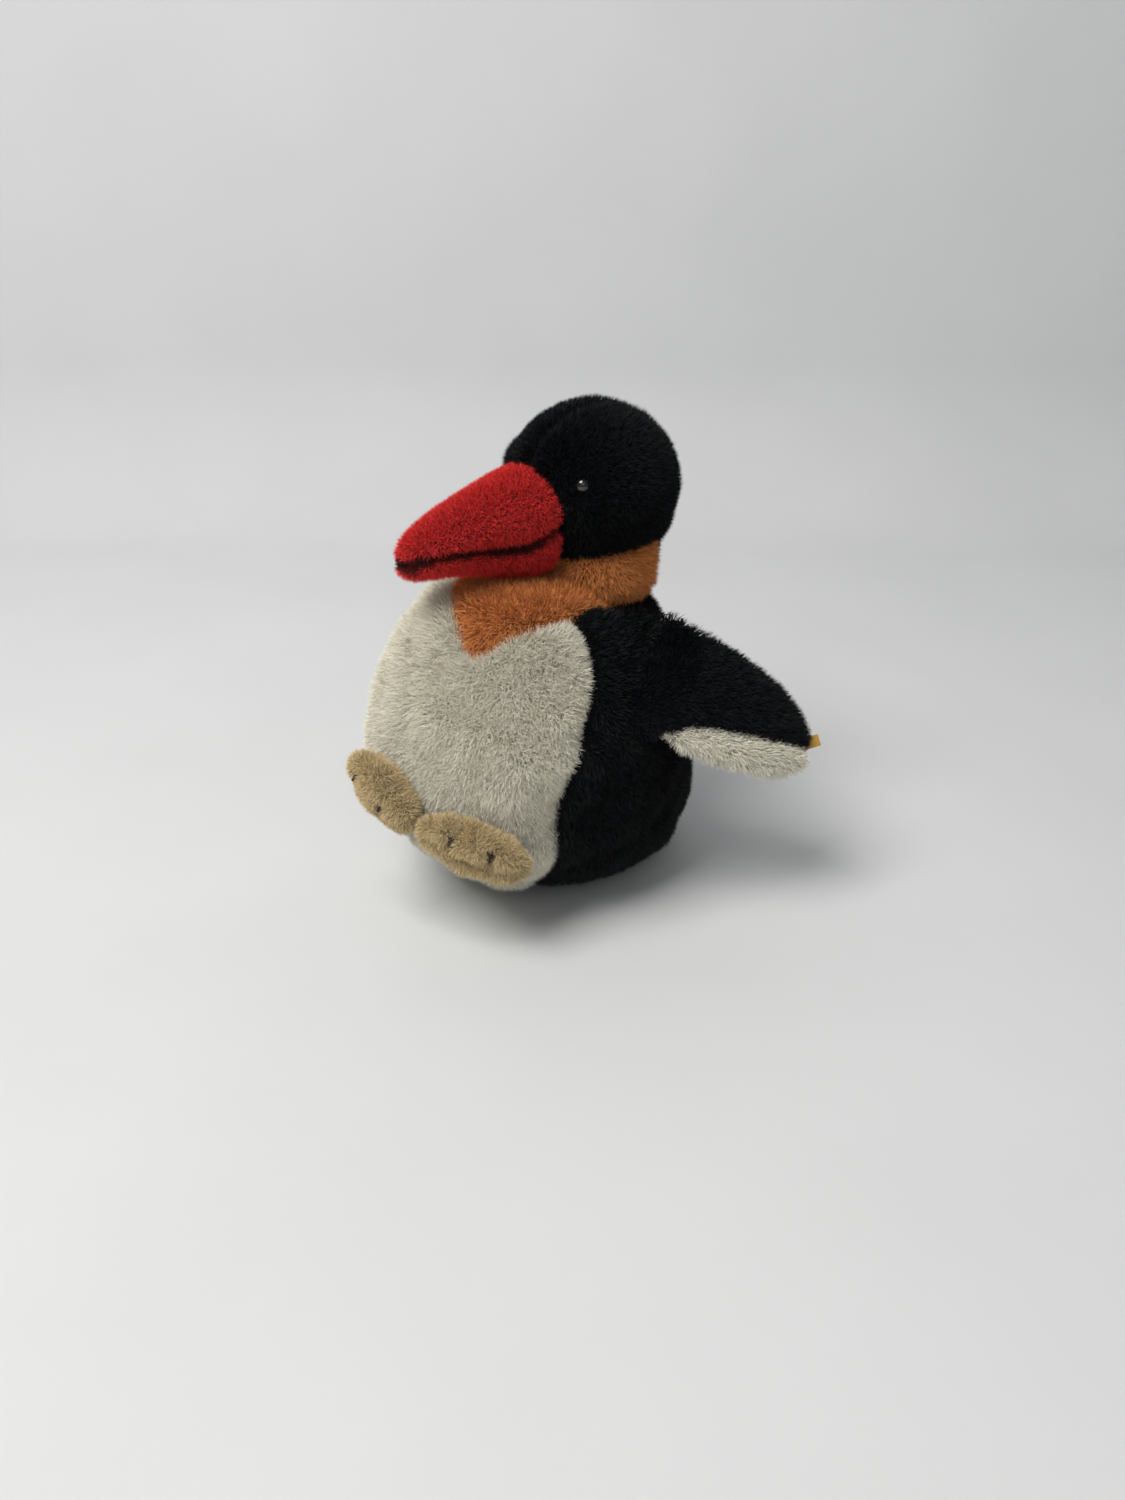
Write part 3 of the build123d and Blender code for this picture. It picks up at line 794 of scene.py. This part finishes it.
def torso_shape(points):
    """The chest rises to the throat under the beak."""
    result = points.copy()
    from_neck = points[:, :2] - np.array(NECK[:2])
    reach = np.hypot(from_neck[:, 0], from_neck[:, 1])
    bearing = np.degrees(np.arctan2(from_neck[:, 0], -from_neck[:, 1]))
    rise = interpolated(reach, CHEST_RISE) * interpolated(bearing, CHEST_FACES)
    result[:, 2] += rise * smooth_step(points[:, 2], 70.0, 92.0)
    share = smooth_step(points[:, 2], 6.0, 16.0) * (1.0 - smooth_step(points[:, 2], 86.0, 94.0))
    outwards = unit(points - np.array(BODY_MIDDLE)) * share[:, None]
    return lumpy(result, outwards, *BODY_LUMPS)


torso = Skin(TORSO_PANELS, "body_stuffing", BODY_MIDDLE, 6, 2.6, shape=torso_shape, pattern=torso_pattern)


# ---- the head and the beak -------------------------------------------------------------------------
HEAD_SET = (-1.8, -1.9)       # the head sits a little to one side of its neck
HEAD_SQUASH = 0.94


def head_sits(points):
    """The head is pressed down a little and leans."""
    result = points.copy()
    share = smooth_step(points[:, 2], 105.0, 130.0)
    result[:, :2] += np.array(HEAD_SET) * share[:, None]
    over = np.maximum(points[:, 2] - 118.0, 0.0)
    result[:, 2] -= over * (1.0 - HEAD_SQUASH)
    return result


JAW_DROP = [(18, 9.5), (24, 11), (31, 11), (41, 8.5), (52, 4.5), (62, 1.2), (70, 0)]    # by place forward
BEAK_HALF_HEIGHT = 12.0    # the whole drop is reached this far below the middle line


def beak_shape(points):
    """The lower beak is deep at its root and meets the throat."""
    local = head_frame(points)
    forward = -local[:, 1]
    above = local[:, 2] - interpolated(forward, BEAK_LINE)
    share = smooth_step(-above / BEAK_HALF_HEIGHT, 0.0, 1.0)
    local[:, 2] -= share * interpolated(forward, JAW_DROP)
    local[:, 0] *= 1.0 + 0.34 * bump(forward - 22.0, 14.0)
    return head_sits(from_head_frame(local) + np.array(NECK))


def head_shape(points):
    """The cheeks bulge over the shoulders."""
    local = head_frame(points)
    radial = local[:, :2] / np.maximum(np.hypot(local[:, 0], local[:, 1])[:, None], 1e-6)
    low = bump(local[:, 2] - 9.0, 8.0) * smooth_step(-local[:, 1], -16.0, -4.0)
    local[:, :2] += radial * (low * 2.6)[:, None]
    local[:, 2] -= low * 1.5
    return head_sits(from_head_frame(local) + np.array(NECK))


head = Skin(HEAD_PANELS, "head_stuffing", (0, 2, 130), 6, 1.2, shape=head_shape, pattern=head_pattern)
beak = Skin(["beak_upper", "beak_lower"], "beak_stuffing", (-6, -36, 130), 6, 0.8, shape=beak_shape,
            pattern=beak_pattern, groove=1.3, cap=0.8)


# ---- the wings ---------------------------------------------------------------------------------------
WING_SEAM = [(-30, -28), (-17, -26.5), (-8.6, -26.6), (-0.5, -24.7), (6, -18.1), (15.5, -14.5), (24, -13),
             (37, -9.7), (51, -5.6), (60, -3)]   # along, across
WING_TOP_SEAM = -1.5       # the upper seam lies just behind the wing's edge
ROOT_SPREAD = 3.0          # this much of a wing's end runs on into the body
ROOT_LINE = [(-27, (52, -36, 68)), (-20, (50, -38, 76)), (-10, (46, -30, 84)), (0, (40, -19, 91)),
             (8, (33, -7, 96)), (14.5, (24, 2, 104))]       # across the wing, place on the body
ROOT_DEPTH = 4.0           # it is sewn in this far below the surface
WING_FLARE = 2.0           # the lower edge turns outwards by this much
torso_tree = BVHTree.FromPolygons([Vector(p) for p in torso.points], torso.faces)


def wing_pattern(side):
    def pattern(middles):
        along, across, outward = wing_frame(middles, side)
        top = WING_TOP_SEAM - 3.0 * np.maximum(9.0 - along, 0.0)
        return np.where((outward > top) & (across > interpolated(along, WING_SEAM)), 0, 1)
    return pattern


def wing_shape(side):
    """Runs the root of the wing into the body, and turns its lower edge a little outwards."""
    def shape(points):
        along, across, _ = wing_frame(points, side)
        root = 1.0 - smooth_step(along, 0.0, ROOT_SPREAD)
        result = points.copy()
        lines = [[(c, place[k]) for c, place in ROOT_LINE] for k in range(3)]
        sewn = np.stack([interpolated(across, line) for line in lines], axis=1)
        sewn *= MIRROR if side == "right" else 1.0
        free = smooth_step(across, 5.0, 12.0)
        for i in np.nonzero(root > 0.0)[0]:
            place, normal = torso_tree.find_nearest(Vector(sewn[i] * MM))[:2]
            target = (np.array(place) - np.array(normal) * ROOT_DEPTH * MM) / MM
            target += (sewn[i] - target) * free[i]
            result[i] += (target - result[i]) * root[i]
        flare = smooth_step(-across, 4.0, 24.0) * smooth_step(along, 8.0, 40.0)
        way = WING_OUTWARD * (MIRROR if side == "right" else 1.0)
        return result + way * (flare * WING_FLARE)[:, None]
    return shape


wings = {}
for side, sign in (("left", 1), ("right", -1)):
    middle = WING_ROOT + WING_ALONG * 25.0 - WING_ACROSS * 5.0
    middle[0] *= sign
    wings[side] = Skin([f"wing_{side}_outer", f"wing_{side}_lining"], f"wing_{side}_stuffing", middle, 6, 1.6,
                       shape=wing_shape(side), pattern=wing_pattern(side), groove=1.0, cap=1.0)

FOOT_LENGTH_SHARE = {"left": 1.0, "right": 0.86}       # of the foot as it was cut
FOOT_SHIFT = {"left": (0.0, 0.0, 0.0), "right": (2.6, 0.6, 0.6)}


def foot_shape(side):
    """One foot is bunched up a little towards the other."""
    def shape(points):
        middle = points.mean(axis=0)
        local = points - middle
        lengthwise = np.linalg.svd(local, full_matrices=False)[2][0]
        bunched = np.outer(local @ lengthwise, lengthwise) * (FOOT_LENGTH_SHARE[side] - 1.0)
        return lumpy(points + bunched + np.array(FOOT_SHIFT[side]), unit(local), *FOOT_LUMPS)
    return shape


feet = {}
for side in ("left", "right"):
    low, high = (np.array(corner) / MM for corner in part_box(f"foot_{side}_stuffing"))
    feet[side] = Skin([f"foot_{side}_top", f"foot_{side}_sole"], f"foot_{side}_stuffing", (low + high) / 2, 5,
                      0.8, shape=foot_shape(side), groove=0.6, cap=0.5)


def attach(piece, body):
    """Rides a piece on its body; a wing's pieces are left without a body, their placement baked into their
    mesh.
    """
    if body.startswith("wing_"):
        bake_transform(piece)
    else:
        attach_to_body(piece, body)


def comb_down(part, strength):
    """The nap runs down the toy, lying along its surface."""
    normals = part[2]
    way = -UP - normals * (normals @ -UP)[:, None]
    return unit(way) * strength * np.linalg.norm(way, axis=1, keepdims=True)


def comb_towards(part, direction, strength):
    normals = part[2]
    direction = np.broadcast_to(np.asarray(direction, float), normals.shape)
    way = direction - normals * (normals * direction).sum(axis=1, keepdims=True)
    return way * strength


def face_areas(points, faces):
    quads = np.array([f if len(f) == 4 else (f[0], f[1], f[2], f[2]) for f in faces])
    a, b, c, d = (points[quads[:, k]] for k in range(4))
    return 0.5 * np.linalg.norm(np.cross(c - a, d - b), axis=1) + np.where(
        quads[:, 2] == quads[:, 3], 0.5 * np.linalg.norm(np.cross(b - a, c - a), axis=1), 0.0)


def sew(name, skin, body, colour, strands, reach, comb, width=0.26, split=None, tone=None, grow=None,
        fill=0.75, **looks):
    """One panel: its backing cloth and its pile, in one or two pieces."""
    part = skin.part(name)
    points, faces, normals, seam = part
    cloth = cloth_panel(name + "_cloth", part, FINISH[colour + "_cloth"])
    attach(cloth, body)
    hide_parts(name)
    mm = points / MM
    comb = comb(part)
    reach = reach(mm, seam) if callable(reach) else np.full(len(points), float(reach))
    reach = reach * (0.72 + 0.28 * smooth_step(seam, 0.5, 4.0))
    tone = tone(mm, seam) if callable(tone) else np.zeros(len(points))
    grow = grow(mm, normals) if callable(grow) else np.ones(len(points))
    middles = np.array([mm[list(f)].mean(axis=0) for f in faces])
    halves = [("", np.ones(len(faces), bool))]
    if split is not None:
        first = split(middles)
        halves = [("_a", first), ("_b", ~first)]
    for ending, chosen in halves:
        kept = [f for f, use in zip(faces, chosen) if use]
        used = np.unique(np.array([i for f in kept for i in f]))
        place = {old: new for new, old in enumerate(used)}
        kept = [tuple(place[i] for i in f) for f in kept]
        some = points[used], kept, normals[used]
        area = face_areas(some[0], kept)
        share = np.array([grow[used][list(f)].mean() for f in kept])
        density = strands / (area * share).sum() / 1e6
        pile = grow_pile(name + "_pile" + ending, some, reach[used], comb[used], FINISH[colour + "_pile"],
                         density, width, tone[used], grow[used], **looks)
        keep_above_table(pile)
        attach(pile, body)


def keep_above_table(piece):
    points = np.zeros(len(piece.data.vertices) * 3)
    piece.data.vertices.foreach_get("co", points)
    points = points.reshape(-1, 3)
    points[:, 2] = np.maximum(points[:, 2], 0.0002)
    piece.data.vertices.foreach_set("co", points.ravel())
    piece.data.update()


for skin, body, node in ((torso, "torso", "body_stuffing"), (head, "head", "head_stuffing"),
                         (beak, "head", "beak_stuffing"), (wings["left"], "wing_left", "wing_left_stuffing"),
                         (wings["right"], "wing_right", "wing_right_stuffing"),
                         (feet["left"], "foot_left", "foot_left_stuffing"),
                         (feet["right"], "foot_right", "foot_right_stuffing")):
    filling(node + "_fibre", skin, body, node)


# body
def back_reach(mm, _seam):
    return 3.8 - 2.6 * (1.0 - smooth_step(mm[:, 2], 2.0, 12.0))


def under_head(mm, _normals):
    """No pile is wasted where the head sits."""
    return np.where((np.hypot(mm[:, 0], mm[:, 1] - NECK[1]) < 10.0) & (mm[:, 2] > 95.0), 0.05, 1.0)


base = torso.part("base_panel")
base_cloth = cloth_panel("base_panel_cloth", base, FINISH["base_cloth"])
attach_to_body(base_cloth, "torso")
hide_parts("base_panel")

sew("belly_panel", torso, "torso", "white", 64000, 5.4, lambda p: comb_down(p, 0.2), 0.23,
    split=lambda m: m[:, 0] > 4.0, Clump=0.9, Scatter=0.55, Seed=3, **{"Clump scale": 150.0})
sew("throat_bib", torso, "torso", "orange", 20000, 4.6,
    lambda p: comb_down(p, 0.2) + comb_towards(p, (0.15, -1.0, -0.3), 0.3), 0.22, grow=under_head,
    Clump=0.9, Scatter=0.55, Seed=5)
for side in ("left", "right"):
    sew(f"back_panel_{side}", torso, "torso", "black", 52000, back_reach, lambda p: comb_down(p, 0.4), 0.28,
        grow=under_head, Clump=0.6, Scatter=0.42, Seed=7 if side == "left" else 8)


# head
def in_head(shift):
    """Pile of the beak grows only outside the head."""
    def grow(mm, _normals):
        local = head_frame(mm)
        out = np.linalg.norm(local - np.array([0.0, 0.0, HEAD_CENTRE_Z - NECK[2]]), axis=1)
        return np.where(out < HEAD_RADIUS - shift, 0.0, 1.0)
    return grow


def to_nearest_eye(mm):
    return np.minimum(*(np.linalg.norm(mm - np.mean([np.array(c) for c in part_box(eye)], axis=0) / MM, axis=1)
                        for eye in ("eye_left", "eye_right")))


def beyond_beak(mm, _normals):
    """Pile of the head grows only outside the beak, and thickest round the eyes."""
    local = head_frame(mm)
    above = local[:, 2] - interpolated(-local[:, 1], BEAK_LINE)
    inside = (local[:, 1] < -14.0) & ((local[:, 0] / 12.4) ** 2 + (above / 12.0) ** 2 < 1.0)
    return np.where(inside, 0.0, 1.0) * np.where(to_nearest_eye(mm) < 6.0, 2.2, 1.0)


def hood_reach(mm, _seam):
    """The pile is longest round the eyes and over the crown and the back of the head."""
    back = smooth_step(head_frame(mm)[:, 1], -12.0, 10.0)
    return 3.4 + 1.4 * back + 1.6 * (1.0 - smooth_step(to_nearest_eye(mm), 3.0, 8.0))


HEAD_BACK = tuple(from_head_frame(np.array([[0.0, 1.0, 0.0]]))[0])
for side in ("left", "right"):
    sew(f"hood_{side}", head, "head", "black", 38000, hood_reach,
        lambda p: comb_towards(p, HEAD_BACK, 0.3) + comb_down(p, 0.05), 0.25, grow=beyond_beak,
        Clump=0.7, Scatter=0.5, Seed=11 if side == "left" else 12)
sew("cheek_band", head, "head", "orange", 20000, 4.6,
    lambda p: comb_down(p, 0.25) + comb_towards(p, HEAD_BACK, 0.15), 0.22, grow=beyond_beak,
    Clump=0.9, Scatter=0.55, Seed=13)


def beak_tone(mm, _seam):
    """The mouth line, the nostrils and the end of the lower beak are stained dark."""
    local = head_frame(mm)
    forward = -local[:, 1]
    above = local[:, 2] - interpolated(forward, BEAK_LINE)
    line = np.abs(above - interpolated(forward, MOUTH))
    half = np.interp(forward, [25, 33, 50, 66, 72], [1.1, 1.9, 1.3, 1.0, 1.2])
    begun = smooth_step(forward, MOUTH_CORNER - 1.5, MOUTH_CORNER)
    stain = (1.0 - smooth_step(line, half, half + 1.0)) * begun
    nostril = np.hypot(np.hypot(forward - 38.0, above - 8.1), (np.abs(local[:, 0]) - 9.5) * 0.5)
    stain = np.maximum(stain, 0.8 * (1.0 - smooth_step(nostril, 0.6, 1.8)))
    tip = np.hypot(forward - 72.5, above + 1.0)
    stain = np.maximum(stain, 0.75 * (1.0 - smooth_step(tip, 0.5, 3.5)))
    return stain * STAINED


for name, strands in (("beak_upper", 30000), ("beak_lower", 22000)):
    sew(name, beak, "head", "red", strands, 2.8, lambda p: comb_towards(p, (0.1, -1.0, -0.4), 0.12), 0.18,
        grow=in_head(0.5), tone=beak_tone, fill=0.85, Clump=0.5, Scatter=0.6, Seed=17 + strands % 7,
        **{"Clump scale": 330.0})

# wings
for side in ("left", "right"):
    down_wing = WING_ALONG * (MIRROR if side == "right" else 1.0)

    def clear_of_body(mm, _normals):
        share = np.ones(len(mm))
        for i, point in enumerate(mm):
            place, normal, _, _ = torso_tree.find_nearest(Vector(point * MM))
            depth = (point * MM - np.array(place)) @ np.array(normal)
            share[i] = 0.0 if depth < -0.0008 else 1.0
        return share

    sew(f"wing_{side}_outer", wings[side], f"wing_{side}", "black", 23000, 4.2,
        lambda p: comb_towards(p, down_wing, 0.4) + comb_down(p, 0.1), 0.28, grow=clear_of_body,
        Clump=0.6, Scatter=0.45, Seed=21 if side == "left" else 22)
    sew(f"wing_{side}_lining", wings[side], f"wing_{side}", "white", 15000, 3.8,
        lambda p: comb_towards(p, down_wing, 0.3) + comb_down(p, 0.1), 0.24, grow=clear_of_body,
        Clump=0.6, Scatter=0.5, Seed=23 if side == "left" else 24)

# feet
TOES = {}
for side in ("left", "right"):
    points, _ = mesh_arrays(NODES[f"foot_{side}_toe_stitches"].data)
    TOES[side] = np.unique(np.round(points / MM, 1), axis=0)


def toe_tone(side):
    def tone(mm, _seam):
        near = nearest_distance(mm * MM, TOES[side] * MM)
        return STAINED * (1.0 - smooth_step(near, 0.4, 1.9))
    return tone


def toe_reach(side):
    def reach(mm, _seam):
        near = nearest_distance(mm * MM, TOES[side] * MM)
        return 1.3 + 2.3 * smooth_step(near, 0.6, 2.6)
    return reach


for side in ("left", "right"):
    for half, strands in (("top", 14000), ("sole", 10000)):
        sew(f"foot_{side}_{half}", feet[side], f"foot_{side}", "beige", strands, toe_reach(side),
            lambda p: comb_down(p, 0.1), 0.22, tone=toe_tone(side), fill=0.8, Clump=1.2, Scatter=0.75,
            Seed=31 + strands % 5, **{"Clump scale": 420.0})

bpy.data.objects.remove(STRAND)

# ---- what stays as it was cut in the workshop ------------------------------------------------------
for name, finish in {
    "pellet_bag": "bag_cloth", "pellets": "pellets",
    "neck_washer": "plastic", "neck_stem_disc": "plastic", "neck_lock_ring": "plastic",
    "eye_washer_left": "plastic", "eye_washer_right": "plastic",
    "eye_left": "eye", "eye_right": "eye",
    "foot_left_toe_stitches": "thread", "foot_right_toe_stitches": "thread",
    "ribbon_tab": "ribbon",
}.items():
    dress_node(name, finish)


# ---- the paper on the table and behind it, the lights and the camera ----------------------------------
def paper_sweep():
    """White paper that lies on the table and curves up behind the toy."""
    away = np.array([-0.731, 0.682, 0.0])
    beside = np.array([0.682, 0.731, 0.0])
    wall, radius, height, half_width, near = 0.455, 0.10, 1.3, 1.6, 1.6
    profile = [(-near, 0.0), (-0.6, 0.0), (0.0, 0.0), (wall - radius, 0.0)]
    profile += [(wall - radius + radius * math.sin(t), radius - radius * math.cos(t))
                for t in np.linspace(0.1, math.pi / 2, 14)]
    profile.append((wall, height))
    points = [away * run + beside * across + UP * rise
              for run, rise in profile for across in (-half_width, half_width)]
    faces = [(2 * i, 2 * i + 1, 2 * i + 3, 2 * i + 2) for i in range(len(profile) - 1)]
    thing = new_object("paper_sweep", points, faces)
    shade_smooth(thing.data)
    thing.data.materials.append(
        speckled_finish("paper", (0.69, 0.70, 0.705), (0.72, 0.73, 0.735), 9.0, 0.85, 0.03))
    return thing


paper_sweep()

world = bpy.data.worlds.new("studio")
bpy.context.scene.world = world
world.use_nodes = True
world.node_tree.nodes["Background"].inputs["Color"].default_value = (0.93, 0.96, 1.0, 1.0)
world.node_tree.nodes["Background"].inputs["Strength"].default_value = 0.22


def soft_light(name, place, target, size, power, colour=(1.0, 0.98, 0.95)):
    data = bpy.data.lights.new(name, "AREA")
    data.shape = "RECTANGLE"
    data.size, data.size_y = size
    data.energy = power
    data.color = colour
    thing = bpy.data.objects.new(name, data)
    thing.location = place
    thing.rotation_mode = "QUATERNION"
    thing.rotation_quaternion = (Vector(target) - Vector(place)).to_track_quat("-Z", "Y")
    bpy.context.scene.collection.objects.link(thing)


soft_light("ceiling_panel", (0.0, -0.62, 1.05), (0.0, 0.0, 0.05), (0.6, 0.6), 12.0)
soft_light("room_fill", (0.9, -0.9, 0.9), (0.0, 0.0, 0.08), (1.0, 0.8), 1.4)

camera = bpy.data.objects.new("camera", bpy.data.cameras.new("camera"))
bpy.context.scene.collection.objects.link(camera)
camera.data.sensor_width = 36.0
camera.data.lens = 29.11
camera.data.clip_start = 0.01
camera.data.clip_end = 20.0
camera.location = (0.288157, -0.283245, 0.240079)
TURN, PITCH = math.radians(47.0), math.radians(27.0)
looking = Vector((-math.sin(TURN) * math.cos(PITCH), math.cos(TURN) * math.cos(PITCH), -math.sin(PITCH)))
camera.rotation_mode = "QUATERNION"
camera.rotation_quaternion = looking.to_track_quat("-Z", "Y")
bpy.context.scene.camera = camera
bpy.context.scene.view_settings.view_transform = "Standard"
